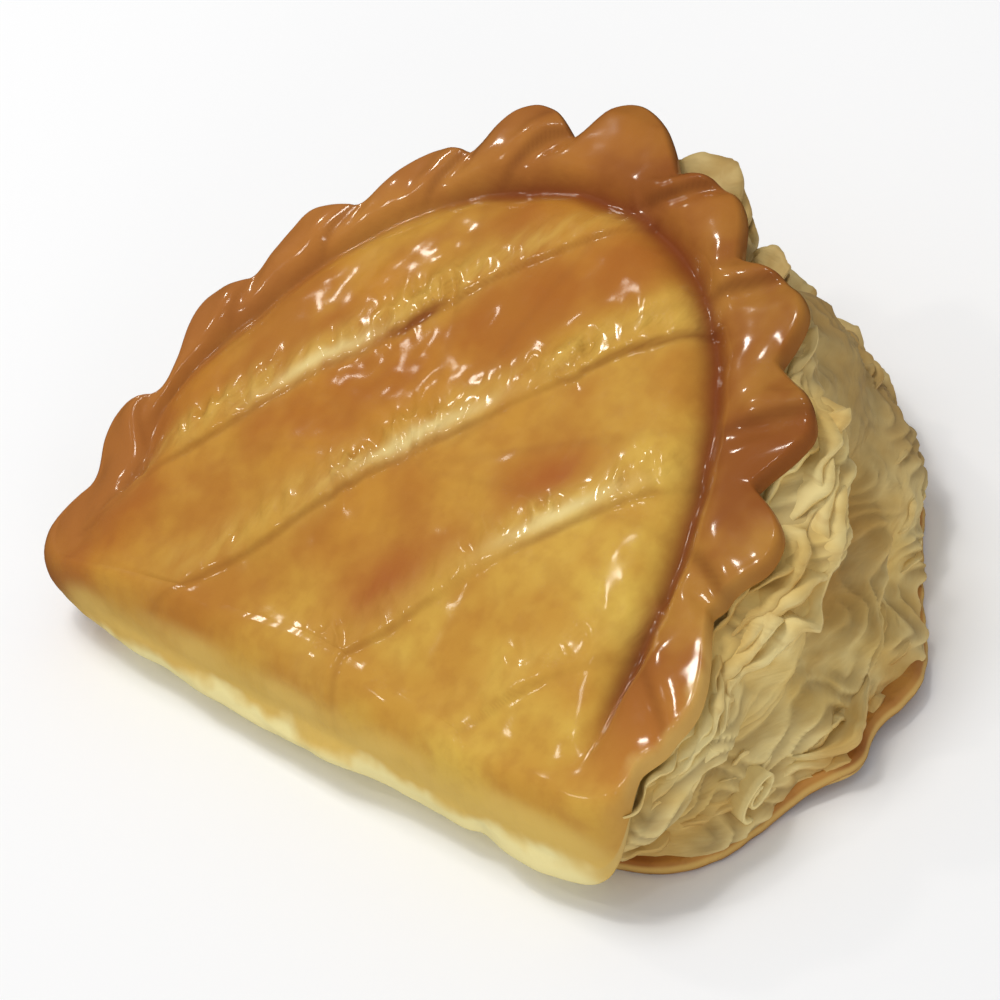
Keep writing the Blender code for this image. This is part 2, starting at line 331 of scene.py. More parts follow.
def crust_shape(degrees, reach):
    """Height of the crust, with masks for its colours and its painted shade."""
    x, y, _ = around(reach, degrees, 0.0 * reach).T
    edge, ring, open_share = read(EDGE_LINE, degrees), read(RING_LINE, degrees), openness(degrees)
    share = np.minimum(1.0, reach / ring)
    gentle = (1.0 - share ** 2) ** 2
    pillow = 0.0032 * (gentle + (1.0 - share ** 3.6 - gentle) * open_share)
    pressed = (1.0 - 0.65 * smooth(112.0, 135.0, degrees)) * smooth(-26.0, -12.0, degrees) * open_share
    aside = reach - ring
    groove = 0.0019 * np.where(aside < 0.0, bell(aside, 0.0030), bell(aside, 0.0016))
    on_rim = np.clip(aside / (edge - ring), 0.0, 1.0)
    creases, crease_mask = crease_relief(degrees, reach, on_rim)
    slash, crease, bank, torn = slash_relief(x, y)
    on_dome = 1.0 - 0.85 * smooth(0.0, 0.25, on_rim)
    height = crust_plane(x, y) + pillow + slash * on_dome + creases * open_share
    height = height - groove * blend(0.5, 1.0, pressed) * open_share
    height = height + 0.0008 * np.sin(np.pi * on_rim) * open_share
    ring_mask = np.where(aside < 0.0, bell(aside, 0.0019), bell(aside, 0.0012)) * pressed
    # painted shade: crease and fold carry the dark lines of the slashes and the press marks
    masks = dict(ring=ring_mask, crease=crease * on_dome, bank=bank * on_dome, torn=torn * on_dome,
                 fold=crease_mask * open_share, rim=smooth(-0.003, 0.002, aside) * open_share,
                 outer=smooth(0.35, 1.0, on_rim) * smooth(8.0, 30.0, degrees) * open_share)
    return x, y, height, masks


print("plane over the centre, mm:", mm(crust_plane(0.0, CENTRE_Y)))

# %% [markdown]
# ## A drum of quads, row by row
# A capped cylinder whose sides are cut into rows is a closed drum that runs from a top pole to
# a bottom pole. Moving each row to its own station of the pastry's section gives a closed body
# with no seam. A spun profile would give a round body, but this one differs at every angle,
# and a UV sphere of this many rows would take Blender much longer to make.

# %% Bodies from a drum
def drum(segments, rows):
    """A closed drum, with the row and the angle of each point."""
    body = bmesh.new()
    bmesh.ops.create_cone(body, cap_ends=True, cap_tris=True, segments=segments, radius1=1.0, radius2=1.0,
                          depth=2.0)
    upright = [edge for edge in body.edges if abs(edge.verts[0].co.z - edge.verts[1].co.z) > 1.0]
    bmesh.ops.subdivide_edges(body, edges=upright, cuts=rows - 3)
    places = np.array([point.co[:] for point in body.verts])
    ring_row = 1 + np.rint((rows - 2) * 0.5 * (1.0 - places[:, 2]))
    pole_row = np.where(places[:, 2] > 0.0, 0, rows)
    row = np.where(np.hypot(places[:, 0], places[:, 1]) < 0.5, pole_row, ring_row).astype(int)
    degrees = (np.degrees(np.arctan2(places[:, 1], places[:, 0])) + 90.0) % 360.0 - 90.0
    return body, row, degrees


def finish_body(name, body, masks):
    """Make the piece, with each mask as an attribute for its material."""
    bmesh.ops.translate(body, vec=PLAN_ORIGIN, verts=body.verts)
    bmesh.ops.recalc_face_normals(body, faces=body.faces)
    mesh = bpy.data.meshes.new(name)
    body.to_mesh(mesh)
    body.free()
    for title, values in masks.items():
        layer = mesh.attributes.new(title, "FLOAT", "POINT")
        layer.data.foreach_set("value", np.asarray(values, np.float32))
    mesh.shade_smooth()
    piece = bpy.data.objects.new(name, mesh)
    bpy.context.scene.collection.objects.link(piece)
    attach(piece, "root")
    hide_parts("turnover")
    print(name, "triangles:", sum(len(face.vertices) - 2 for face in mesh.polygons))
    return piece


def put(points, places):
    """Move each point to its place."""
    for point, place in zip(points, places):
        point.co = place


sample, sample_rows, _ = drum(8, 5)
print("points in a small drum, row by row:", np.bincount(sample_rows))
sample.free()

# %% [markdown]
# ## Places on the crust
# The fold puffs out and draws in along its length, and two places in the middle of the top were
# baked darker. A painted mask could hold them, but these are soft bumps, each with a place
# and a size that can be changed alone.

# %% Puffs and dark places
SPOTS = ((0.0062, 0.0158, 0.0085), (0.0207, 0.0360, 0.0064))  # x, y and size of the dark places


def fold_bulge(x):
    """Where the fold puffs out and draws in along its length."""
    puffs = 0.0012 * bell(x - 0.0440, 0.0060) - 0.0010 * bell(x - 0.0345, 0.0025)
    puffs = puffs + 0.0008 * bell(x + 0.0090, 0.0200)
    return puffs - 0.0006 * bell(x - 0.0160, 0.0060) - 0.0016 * smooth(-0.0350, -0.0560, x)


def baked_spots(x, y):
    """1 in the middle of the two dark places, each longer than it is wide."""
    spots = 0.0 * x
    for spot_x, spot_y, size in SPOTS:
        along, across = slash_coordinates(x - spot_x, y - spot_y)
        spots = np.maximum(spots, bell(np.hypot(along, 1.8 * across), size))
    return spots


print("largest puff of the fold, mm:", mm(fold_bulge(np.linspace(-0.05, 0.05, 101)).max()))

# %% [markdown]
# ## The glazed crust
# The crust covers the top, rolls over the lobed rim and tucks in under it. Along the fold it
# carries on down to the table, because there the dough is one sheet bent round. Fine noise
# across the slash banks makes the crinkles that catch the light. It could be cloth draped over
# a filling, but rows worked out from the outlines keep rim, groove and slashes where they are.

# %% Crust
DOME_ROWS, RIM_ROWS, ROLL_ROWS, SKIRT_ROWS, UNDER_ROWS = 96, 32, 12, 22, 4
CRUST_SEGMENTS = 580
CRUST_OPENS = (-31.0, -20.0)  # angles between which the fold's round side turns into the rim
RIM_ROLL = 0.0020
SIDE_SHARE = 0.86  # of the rows below the roll, those that stand on the fold side
UNDER_HEIGHT = 0.0030
LOW_TO = 0.0170  # height up to which the fold can stay pale


def crinkles(x, y, bank):
    """Broad swells, small dents, and sharp crinkles across the banks of the slashes."""
    flat = laid_flat(x, y)
    turned = laid_flat(*slash_coordinates(x, y))
    sharp = 1.0 - 2.6 * np.abs(noise_at(turned, 0.0036, stretch=(1.0, 0.40, 1.0), seed=23.0))
    patch = smooth(-0.25, 0.35, noise_at(flat, 0.011, seed=37.0))
    swells = 0.00060 * noise_at(flat, 0.014, seed=11.0)
    dents = 0.00014 * noise_at(flat, 0.0052, seed=5.0)
    return swells + dents + 0.00085 * sharp * bank * blend(0.25, 1.0, patch)


def fold_side(x, degrees, reach, height, down):
    """The fold's side, which bulges on its way down to the table and turns in under it."""
    side = np.minimum(1.0, down / SIDE_SHARE)
    face = np.stack([x, 0.0 * x, height * (1.0 - side)], 1)
    folds = noise_at(face, 0.009, stretch=(0.6, 1.0, 1.4), octaves=3, seed=6.0)
    bulge = 0.0010 + fold_bulge(reach * np.cos(np.radians(degrees))) + 0.0006 * folds
    under = np.clip((down - SIDE_SHARE) / (1.0 - SIDE_SHARE), 0.0, 1.0)
    foot = blend(reach, read(FOOT_LINE, degrees), smooth(0.42, 0.95, side))
    fold_height = blend(height, 0.0011, side) - 0.0009 * smooth(0.0, 0.6, under)
    return foot + bulge * np.sin(np.pi * side) - 0.0030 * under, fold_height


def crust_body():
    """Rows for dome, rim, rolled edge, side and underside, in that order."""
    rows = DOME_ROWS + RIM_ROWS + ROLL_ROWS + SKIRT_ROWS + UNDER_ROWS
    body, row, degrees = drum(CRUST_SEGMENTS, rows)
    open_share = openness(degrees, *CRUST_OPENS)
    edge, ring = read(EDGE_LINE, degrees), read(RING_LINE, degrees)
    fold_roll = 0.0060 + 0.0032 * smooth(-0.0560, -0.0300, edge * np.cos(np.radians(degrees)))
    roll = blend(fold_roll, RIM_ROLL, open_share)
    roll_out = blend(0.75 * fold_roll, 0.6 * RIM_ROLL, open_share)
    to_ring = np.clip(row / DOME_ROWS, 0.0, 1.0)
    to_end = np.clip((row - DOME_ROWS) / RIM_ROWS, 0.0, 1.0)
    reach = blend(ring * to_ring, edge - roll_out, to_end)
    x, y, height, masks = crust_shape(degrees, reach)
    height = height + crinkles(x, y, masks["bank"])
    masks["spot"] = baked_spots(x, y)
    turn = 0.5 * np.pi * np.clip((row - DOME_ROWS - RIM_ROWS) / ROLL_ROWS, 0.0, 1.0)
    reach = reach + roll_out * np.sin(turn)
    height = height - roll * (1.0 - np.cos(turn))
    down = np.clip((row - DOME_ROWS - RIM_ROWS - ROLL_ROWS) / SKIRT_ROWS, 0.0, 1.0)
    open_reach = reach - 0.0050 * down ** 2
    open_height = height - 0.0012 * np.sin(0.5 * np.pi * down)
    fold_reach, fold_height = fold_side(x, degrees, reach, height, down)
    reach = np.where(down > 0.0, blend(fold_reach, open_reach, open_share), reach)
    height = np.where(down > 0.0, blend(fold_height, open_height, open_share), height)
    inward = np.clip((row - rows + UNDER_ROWS) / UNDER_ROWS, 0.0, 1.0)
    reach = reach * (1.0 - inward)
    height = blend(height, UNDER_HEIGHT, inward)
    put(body.verts, around(reach, degrees, height))
    masks["low"] = np.clip(1.0 - height / LOW_TO, 0.0, 1.0) * (1.0 - open_share)
    masks["edge"] = np.sin(turn) ** 2 * open_share
    ragged = 0.0014 * noise_at(laid_flat(x, y), 0.0045, seed=44.0)
    at_edge = smooth(-0.0022, -0.0002, reach - edge + ragged)
    masks["bare"] = smooth(12.0, -6.0, degrees) * at_edge * open_share
    masks["under"] = np.where(down > 0.15, open_share, 0.0)
    return finish_body("glazed_crust", body, masks)


crust = crust_body()

# %% [markdown]
# ## Lines of the torn side
# Between the rim and the bottom sheet the puff pastry has split into layers. Three lines round
# it give its section: a lip just under the crust, a hollow behind it, and a bundle near the
# foot. At the right a smooth blister swells out of the hollow. As each line is a short table of
# angles, the section changes as it goes round, which no single turned profile could do.

# %% Lines of the torn side
SHEET_TOP = 0.0022
CRUST_THICKNESS = 0.0030
LIP_DEPTH = 0.0040
LIP = {  # angle: how far the lip stands out from the crust's own outline
    -40: 0.0030, -22: 0.0038, -10: 0.0045, -1: 0.0010, 4: 0.0050, 9: 0.0060, 19: 0.0076, 26: 0.0066,
    36: 0.0040, 43: 0.0012, 50: -0.0010, 62: -0.0018, 80: -0.0015, 100: 0.0, 150: -0.0010, 180: -0.0055,
    200: -0.0060,
}
HOLLOW = {  # the same for the hollow behind it
    -40: 0.0010, -22: -0.0010, -8: -0.0022, 4: -0.0004, 12: -0.0026, 24: -0.0048, 34: -0.0034,
    42: 0.0020, 50: 0.0044, 62: 0.0050, 80: 0.0026, 110: -0.0010, 150: -0.0010, 180: -0.0060,
    200: -0.0060,
}
BUNDLE = {  # the same from the foot's outline
    -40: -0.0046, -20: -0.0050, 0: -0.0046, 12: -0.0050, 22: -0.0062, 28: -0.0042, 34: -0.0004,
    40: 0.0010, 48: 0.0, 60: -0.0006, 80: -0.0010, 200: -0.0020,
}
LIP_LINE = CRUST_LINE + np.interp(TURN, list(LIP), list(LIP.values()))
HOLLOW_LINE = CRUST_LINE + np.interp(TURN, list(HOLLOW), list(HOLLOW.values()))
BUNDLE_LINE = FOOT_LINE + np.interp(TURN, list(BUNDLE), list(BUNDLE.values()))


def edge_height(degrees):
    """Height of the crust's edge, where the wall starts."""
    _, _, height, _ = crust_shape(degrees, read(EDGE_LINE, degrees) - 0.0012)
    return height - RIM_ROLL


RIM_HEIGHT_LINE = edge_height(TURN)


def wall_line(degrees, drop):
    """Reach and height of the wall, without its fine layers."""
    top = read(RIM_HEIGHT_LINE, degrees) - 0.4 * CRUST_THICKNESS
    lip_drop = LIP_DEPTH / (top - SHEET_TOP)
    foot = read(FOOT_LINE, degrees)
    reach = np.minimum(read(EDGE_LINE, degrees), read(CRUST_LINE, degrees)) - 0.0026
    reach = blend(reach, read(LIP_LINE, degrees) - 0.0016, smooth(0.0, lip_drop, drop))
    reach = blend(reach, read(HOLLOW_LINE, degrees), smooth(1.1 * lip_drop, 0.50, drop))
    reach = blend(reach, read(BUNDLE_LINE, degrees), smooth(0.50, 0.74, drop))
    reach = blend(reach, foot - 0.0008, smooth(0.78, 0.97, drop))
    reach = reach + 0.0038 * bell(degrees - 4.0, 8.0) * bell(drop - 0.42, 0.15)
    tucked = 1.0 - openness(degrees)
    return reach - 0.0040 * tucked, blend(top, SHEET_TOP - 0.0006, drop)


print("hollow behind the lip at the right, mm:", mm(read(LIP_LINE, 19.0) - read(HOLLOW_LINE, 19.0)))

# %% [markdown]
# ## The torn wall
# The wall behind the loose sheets is one closed body. It starts under the crust and follows the
# three lines down to the foot. A saw-tooth over the height, which drifts up and down as it goes
# round, cuts it into layers, and it dies away on the blister, which is smooth. A bump map would
# be lighter, but the layers show at the outline, so they are in the mesh.

# %% Torn wall
WALL_TOP_ROWS, WALL_ROWS, WALL_FOOT_ROWS = 8, 110, 6
WALL_SEGMENTS = 640
LAYER_THICKNESS = 0.0021


def side_tint(degrees, height):
    """How toasted the layers are at a place on the wall, and how much olive painted shade they get."""
    toast = 0.9 * bell(degrees - 25.0, 11.0) * bell(height - 0.0150, 0.0045)
    toast = toast + 0.5 * bell(degrees - 10.0, 30.0) * bell(height - 0.0025, 0.0035)
    toast = toast + 0.4 * smooth(85.0, 120.0, degrees) * bell(height - 0.0050, 0.0070)
    # painted shade, partly toasted colour: olive-brown towards the back right, where the wall lies in the
    # shade of the lip
    olive = smooth(30.0, 52.0, degrees) * (1.0 - 0.7 * smooth(90.0, 130.0, degrees))
    return np.clip(toast, 0.0, 1.0), olive


def wall_body():
    """Rows for the covered top, the wall itself and the underside, in that order."""
    rows = WALL_TOP_ROWS + WALL_ROWS + WALL_FOOT_ROWS
    body, row, degrees = drum(WALL_SEGMENTS, rows)
    drop = np.clip((row - WALL_TOP_ROWS) / WALL_ROWS, 0.0, 1.0)
    reach, height = wall_line(degrees, drop)
    points = around(reach, degrees, height)
    torn = noise_at(points, 0.0105, stretch=(1.0, 1.0, 1.8), octaves=3, seed=8.0)
    drift = noise_at(points, 0.0150, seed=2.0)
    saw = (height / LAYER_THICKNESS + 2.2 * drift) % 1.0
    fine = np.where(saw < 0.3, saw / 0.3, (1.0 - saw) / 0.7)
    calm = np.clip(bell(degrees - 8.0, 17.0) * bell(drop - 0.40, 0.16) +
                   bell(degrees - 42.0, 24.0) * bell(drop - 0.38, 0.20), 0.0, 1.0)
    shown = smooth(0.0, 0.06, drop) * (1.0 - smooth(0.97, 1.0, drop)) * openness(degrees)
    fine_share = (1.0 - 0.85 * calm) * smooth(-0.6, 0.2, torn)
    reach = reach + (0.0008 * (fine - 0.5) * fine_share + 0.0017 * torn * (1.0 - 0.5 * calm)) * shown
    inward = np.clip(1.0 - row / WALL_TOP_ROWS, 0.0, 1.0)
    top_reach = reach * (1.0 - inward)
    _, _, crust_top, _ = crust_shape(degrees, np.minimum(top_reach, read(EDGE_LINE, degrees)))
    covered = crust_top - CRUST_THICKNESS - 0.0050 * smooth(0.0, 0.12, inward)
    height = np.where(row < WALL_TOP_ROWS, np.minimum(covered, height), height)
    below = np.clip((row - WALL_TOP_ROWS - WALL_ROWS) / WALL_FOOT_ROWS, 0.0, 1.0)
    reach = np.where(row < WALL_TOP_ROWS, top_reach, reach * (1.0 - below))
    put(body.verts, around(reach, degrees, height))
    toast, olive = side_tint(degrees, height)
    # painted shade: darker in the recess between each layer of the saw-tooth
    gap = np.clip(1.0 - fine, 0.0, 1.0) * fine_share
    # painted shade: darker in the hollow under the lip, less on the blister
    hollow = bell(drop - 0.45, 0.17) * (1.0 - 0.8 * bell(degrees - 3.0, 10.0))
    return finish_body("torn_wall", body, dict(gap=gap, toast=toast, olive=olive, hollow=hollow, calm=calm))


wall = wall_body()

# %% [markdown]
# ## Loose sheets
# Real puff pastry ends in thin leaves with free, ragged edges. Each leaf here is a flat grid
# that is moved between a root line inside the wall and an edge line outside it, waved by
# noise and then given a thickness. As real sheets they cast real shadows into the gaps, which
# a bump map cannot do.

# %% Leaf maker
LEAF_MASKS = ("tip", "toast", "olive")


def leaf_body():
    """An empty body whose points can hold the masks of a leaf."""
    body = bmesh.new()
    for title in LEAF_MASKS:
        body.verts.layers.float.new(title)
    return body


def leaves(name, *groups):
    """One piece from several groups of leaves."""
    body = leaf_body()
    for lay in groups:
        lay(body)
    return finish_body(name, body, {})


def second_face(body, grid):
    """Grow a grid's underside, joined to it all round, and give back the new points."""
    faces = list(dict.fromkeys(face for point in grid for face in point.link_faces))
    grown = bmesh.ops.extrude_face_region(body, geom=faces, use_keep_orig=True)["geom"]
    return [point for point in grown if isinstance(point, bmesh.types.BMVert)]


def add_leaf(body, start, end, root, edge, thickness, seed, wave=0.0008, sway=0.0011, size=0.0085,
             curl=0.0, taper=0.45):
    """A thin wavy leaf from `root` to `edge`, two lines that give reach and height at an angle."""
    steps = max(14, int(2.4 * abs(end - start)))
    grid = bmesh.ops.create_grid(body, x_segments=steps, y_segments=6, size=1.0)["verts"]
    places = np.array([point.co[:] for point in grid])
    along, out = 0.5 * (places[:, 0] + 1.0), 0.5 * (places[:, 1] + 1.0)
    degrees = start + (end - start) * along
    (root_reach, root_height), (tip_reach, tip_height) = root(degrees), edge(degrees)
    line = around(tip_reach, degrees, 0.0 * degrees)
    shown = np.clip(np.sin(np.pi * along), 0.0, 1.0) ** taper * out
    swing = noise_at(line, size, seed=seed)
    ruffle = noise_at(line + 0.004 * out[:, None], 0.6 * size, seed=seed + 3.7)
    rag = noise_at(line, 0.0018, seed=seed + 7.1)
    reach = blend(root_reach, tip_reach, shown) + (sway * swing + 0.00025 * rag) * shown
    height = blend(root_height, tip_height, shown) + wave * ruffle * shown + curl * out ** 3
    height = np.maximum(height, thickness + 0.0012)
    put(grid, around(reach, degrees, height))
    toast, olive = side_tint(degrees, height)
    for title, values in zip(LEAF_MASKS, (out, toast, olive)):
        layer = body.verts.layers.float[title]
        for point, value in zip(grid, values):
            point[layer] = value
    tip = body.verts.layers.float["tip"]
    for point in second_face(body, grid):
        point.co.z -= thickness * (1.0 - 0.45 * point[tip] ** 3)


print("masks on every leaf:", LEAF_MASKS)

# %% [markdown]
# A leaf needs two lines, a root and an edge. Most lines keep to an outline, either at one height
# or at one depth below the crust's edge, which rises and falls with the lobes. They are made by
# a function that gives back a function, so that a leaf can ask for any of its angles.

# %% Lines for leaves
def line_at(line, reach_offset=0.0, height=0.0, below_rim=0.0):
    """A line round the wall at a height, or at a depth below the crust's edge."""
    def at(degrees):
        level = read(RIM_HEIGHT_LINE, degrees) - below_rim if below_rim else height + 0.0 * degrees
        return read(line, degrees) + reach_offset, level
    return at


print("height of the crust's edge at the back, mm:", mm(read(RIM_HEIGHT_LINE, 90.0)))

# %% [markdown]
# ## Upper leaves
# The upper leaves stack up under the crust's edge. The top one follows every lobe, and each
# one below follows them less and stands out further, until the last runs along the lip. Short
# ragged leaves lie between them, and at the far right two stacks stand out past the rim. Copies
# of one leaf would be lighter, but each has to wave in its own way, so each has its own seed.

# %% Upper leaves
UPPER_LEAVES = 4


def rim_ribbons(body):
    """Thick ribbons, from the lobed edge down to the lip."""
    for index in range(UPPER_LEAVES):
        share = index / (UPPER_LEAVES - 1)
        lobed = blend(EDGE_LINE - 0.0002, LIP_LINE, share ** 0.8)
        root = line_at(CRUST_LINE, -0.0065, below_rim=0.0032 + 0.0010 * share)
        edge = line_at(lobed, below_rim=0.0008 + 0.0042 * share)
        add_leaf(body, -29.0 - 2.0 * share, 62.0 - 9.0 * share, root, edge, 0.0012, seed=1.3 * index,
                 wave=0.0021, sway=0.0019, size=0.0100)


def short_leaves(body):
    """Short leaves one after the other, at depths that don't repeat."""
    for index in range(7):
        middle = -20.0 + 11.0 * index
        share = (0.37 * index) % 1.0
        lobed = blend(EDGE_LINE, LIP_LINE, share)
        root = line_at(CRUST_LINE, -0.0060, below_rim=0.0036)
        edge = line_at(lobed, 0.0007, below_rim=0.0012 + 0.0034 * share)
        add_leaf(body, middle - 8.0, middle + 8.0, root, edge, 0.0007, seed=20.0 + index, wave=0.0016)


def stacked_tabs(body):
    """A wide and a small stack of dough that stand out past the rim."""
    for index in range(3):
        root = line_at(CRUST_LINE, -0.0050, below_rim=0.0034 + 0.0010 * index)
        edge = line_at(CRUST_LINE, 0.0034 - 0.0012 * index, below_rim=0.0006 + 0.0021 * index)
        add_leaf(body, 75.0 - 3.0 * index, 89.5 + 3.0 * index, root, edge, 0.0018, seed=31.0,
                 wave=0.0002 + 0.0003 * index, sway=0.0003, taper=0.3)
        edge = line_at(CRUST_LINE, 0.0004 - 0.0010 * index, below_rim=0.0004 + 0.0014 * index)
        add_leaf(body, 55.5 - 2.0 * index, 65.0 + 2.0 * index, root, edge, 0.0007, seed=33.0,
                 wave=0.0005, taper=0.3)


upper = leaves("upper_leaves", rim_ribbons, short_leaves, stacked_tabs)

# %% [markdown]
# ## Lower leaves
# Lower down the leaves are shorter. A fan of fine ones stands at the right, a tongue curls out
# beside it, and near the corner the ends of the folded sheets lie one on the other. Each group
# is one small function, so it can be left out or moved without touching the rest.

# %% Lower leaves
def corner_leaves(body):
    """Folded ends beside the corner, each lower one further out."""
    for index in range(4):
        level = 0.0128 - 0.0030 * index
        root = line_at(FOOT_LINE, -0.0160, height=level)
        edge = line_at(FOOT_LINE, -0.0070 + 0.0018 * index, height=level)
        add_leaf(body, -36.0 + index, -10.0 - 1.5 * index, root, edge, 0.0012, seed=40.0 + index,
                 wave=0.0017, sway=0.0014)


def foot_ribbons(body):
    """Thick ribbons from the corner to the right, lower and further out by turns."""
    for index in range(4):
        share = index / 3.0
        level = 0.0088 - 0.0058 * share
        root = line_at(FOOT_LINE, -0.0110, height=level - 0.0004)
        edge = line_at(FOOT_LINE, -0.0044 + 0.0032 * share, height=level)
        add_leaf(body, -24.0 + 4.0 * share, 14.0 + 12.0 * ((0.62 * index) % 1.0), root, edge, 0.0013,
                 seed=50.0 + 1.7 * index, wave=0.0019, sway=0.0014, size=0.0095)


def fan(body):
    """Six fine leaves that share one root and open like a fan."""
    for index in range(6):
        level = 0.0040 + 0.00125 * index
        root = line_at(FOOT_LINE, -0.0160, height=level)
        edge = line_at(FOOT_LINE, -0.0022 - 0.0013 * index, height=level + 0.0006)
        add_leaf(body, 14.0 + 0.6 * index, 29.5, root, edge, 0.0006, seed=60.0, wave=0.0005, sway=0.0006,
                 taper=0.25)


def tongue(body):
    """One thick leaf that curls up at its end."""
    root = line_at(FOOT_LINE, -0.0090, height=0.0050)
    edge = line_at(FOOT_LINE, 0.0000, height=0.0062)
    add_leaf(body, -4.0, 15.0, root, edge, 0.0019, seed=71.0, wave=0.0003, sway=0.0003, curl=0.0006,
             taper=0.6)


def bundle_leaves(body):
    """Short leaves on the bundle below the blister."""
    for index in range(8):
        middle = 34.0 + 5.0 * index
        level = 0.0050 + 0.0055 * ((0.62 * index) % 1.0) + 0.0010 * index
        root = line_at(BUNDLE_LINE, -0.0060, height=level)
        edge = line_at(BUNDLE_LINE, 0.0006, height=level)
        add_leaf(body, middle - 7.0, middle + 7.0, root, edge, 0.0007, seed=80.0 + index, wave=0.0010)


lower = leaves("lower_leaves", corner_leaves, foot_ribbons, fan, tongue, bundle_leaves)

# %% [markdown]
# ## Rolled end
# Near the corner the end of one folded sheet has turned round on itself. It is a strip laid
# along a flattened spiral, pushed into the wall. Each point carries its number, which the
# second face copies, so that the two faces of the strip stay opposite each other.

# %% Rolled end
ROLL_PLACE = (-7.5, 0.0632, 0.0056)  # angle, reach and height of the middle of the roll
ROLL_HALF = (0.0043, 0.0019)  # half its width and half its height
ROLL_TILT = math.radians(30.0)
ROLL_TURNS = 1.6
ROLL_THICKNESS = 0.0005


def rolled_end():
    """The strip wound up, with its thickness towards the middle of the roll."""
    body = leaf_body()
    number = body.verts.layers.int.new("number")
    grid = bmesh.ops.create_grid(body, x_segments=72, y_segments=5, size=1.0)["verts"]
    places = np.array([point.co[:] for point in grid])
    wound, deep = 0.5 * (places[:, 0] + 1.0), 0.5 * (places[:, 1] + 1.0)
    turned, size = 2.0 * np.pi * ROLL_TURNS * wound, 0.25 + 0.75 * wound
    sideways, upward = ROLL_HALF[0] * size * np.cos(turned), ROLL_HALF[1] * size * np.sin(turned)
    middle_degrees, middle_reach, middle_height = ROLL_PLACE

    def placed(share):
        along = share * (sideways * math.cos(ROLL_TILT) - upward * math.sin(ROLL_TILT))
        height = middle_height + share * (sideways * math.sin(ROLL_TILT) + upward * math.cos(ROLL_TILT))
        degrees = middle_degrees + np.degrees(along / middle_reach)
        return around(middle_reach - 0.0060 * deep + 0.0008 * size, degrees, height)

    put(grid, placed(1.0))
    for index, point in enumerate(grid):
        point[number] = index
    inner_places = placed(1.0 - ROLL_THICKNESS / np.hypot(sideways, upward))
    for point in second_face(body, grid):
        point.co = inner_places[point[number]]
    return finish_body("rolled_end", body, {})


roll = rolled_end()

# %% [markdown]
# ## Leaves at the back
# The back was not to be seen, so it is finished like the side that shows. Leaves are strewn
# over the wall by two steps that never fall into a pattern, and a stack of them fills the
# overhang under the left tip. A scatter modifier could place them, but a plain loop bends each
# leaf to the wall where it lies.

# %% Leaves at the back
def wall_leaf(drop, out):
    """A line at a share of the wall's height, so far out from the wall."""
    def at(degrees):
        reach, height = wall_line(degrees, drop)
        return reach + out, height
    return at


def strewn_leaves(body):
    """Leaves all over the back, each with its own length."""
    rng = np.random.default_rng(5)
    for index in range(40):
        middle = 62.0 + 132.0 * ((0.618 * index) % 1.0)
        half = rng.uniform(8.0, 16.0)
        drop = 0.05 + 0.88 * ((0.755 * index) % 1.0)
        start, end = max(50.0, middle - half), min(202.0, middle + half)
        add_leaf(body, start, end, wall_leaf(drop, -0.0040), wall_leaf(drop, 0.0019), 0.0007,
                 seed=100.0 + index, wave=0.0012)


def tip_leaves(body):
    """A stack of leaves in the overhang under the left tip."""
    for index in range(7):
        drop = 0.10 + 0.10 * index
        add_leaf(body, 184.0 - 2.0 * index, 219.0 - index, wall_leaf(drop, -0.0080),
                 wall_leaf(drop, 0.0040 - 0.0002 * index), 0.0010, seed=150.0 + index, wave=0.0012)


back_side = leaves("back_leaves", strewn_leaves, tip_leaves)

# %% [markdown]
# ## The browned bottom sheet
# The turnover stands on the lower half of the folded dough. Its edge is thin, wavy and
# browned, and it shows below the pale layers at the right. It is a drum once more, with only
# its own edge to shape: round at the rim, wavy in plan, and lifted a little off the tray.

# %% Bottom sheet
SHEET_ROWS_TOP, SHEET_ROWS_EDGE, SHEET_ROWS_UNDER = 10, 14, 14
SHEET_SEGMENTS = 520
SHEET_THICKNESS = 0.0011


def sheet_body():
    """Rows for the top, the round edge and the underside, in that order."""
    rows = SHEET_ROWS_TOP + SHEET_ROWS_EDGE + SHEET_ROWS_UNDER
    body, row, degrees = drum(SHEET_SEGMENTS, rows)
    foot, open_share = read(FOOT_LINE, degrees), openness(degrees)
    ring = around(0.06, degrees, 0.0)
    waver = noise_at(ring, 0.0090, octaves=3, seed=14.0)
    rise = smooth(-0.2, 0.6, noise_at(ring, 0.017, seed=19.0)) * open_share
    edge = foot + (0.0006 * waver - 0.0002) * open_share - 0.0020 * (1.0 - open_share)
    to_edge = np.clip(row / SHEET_ROWS_TOP, 0.0, 1.0)
    turn = np.pi * np.clip((row - SHEET_ROWS_TOP) / SHEET_ROWS_EDGE, 0.0, 1.0)
    inward = np.clip((row - SHEET_ROWS_TOP - SHEET_ROWS_EDGE) / SHEET_ROWS_UNDER, 0.0, 1.0)
    reach = (edge - SHEET_THICKNESS) * to_edge + SHEET_THICKNESS * np.sin(turn)
    reach = np.where(inward > 0.0, (edge - SHEET_THICKNESS) * (1.0 - inward) ** 0.8, reach)
    lift = 0.0016 * rise * smooth(0.84, 1.0, reach / edge)
    height = np.where(inward > 0.0, lift, SHEET_THICKNESS * (1.0 + np.cos(turn)) + lift)
    put(body.verts, around(reach, degrees, height))
    return finish_body("browned_sheet", body, dict(under=smooth(0.45, 0.8, turn / np.pi), lip=np.sin(turn)))


sheet = sheet_body()

# %% [markdown]
# ## Shader sums as Python
# A material is a web of nodes, which could be wired by hand in the node editor. Wrapping an
# output socket in a small class lets the web be written as arithmetic instead, so `1 - mask` or
# `mask * 0.4 + grain` makes its own Math nodes. The second form of each operator lets the plain
# number stand first.

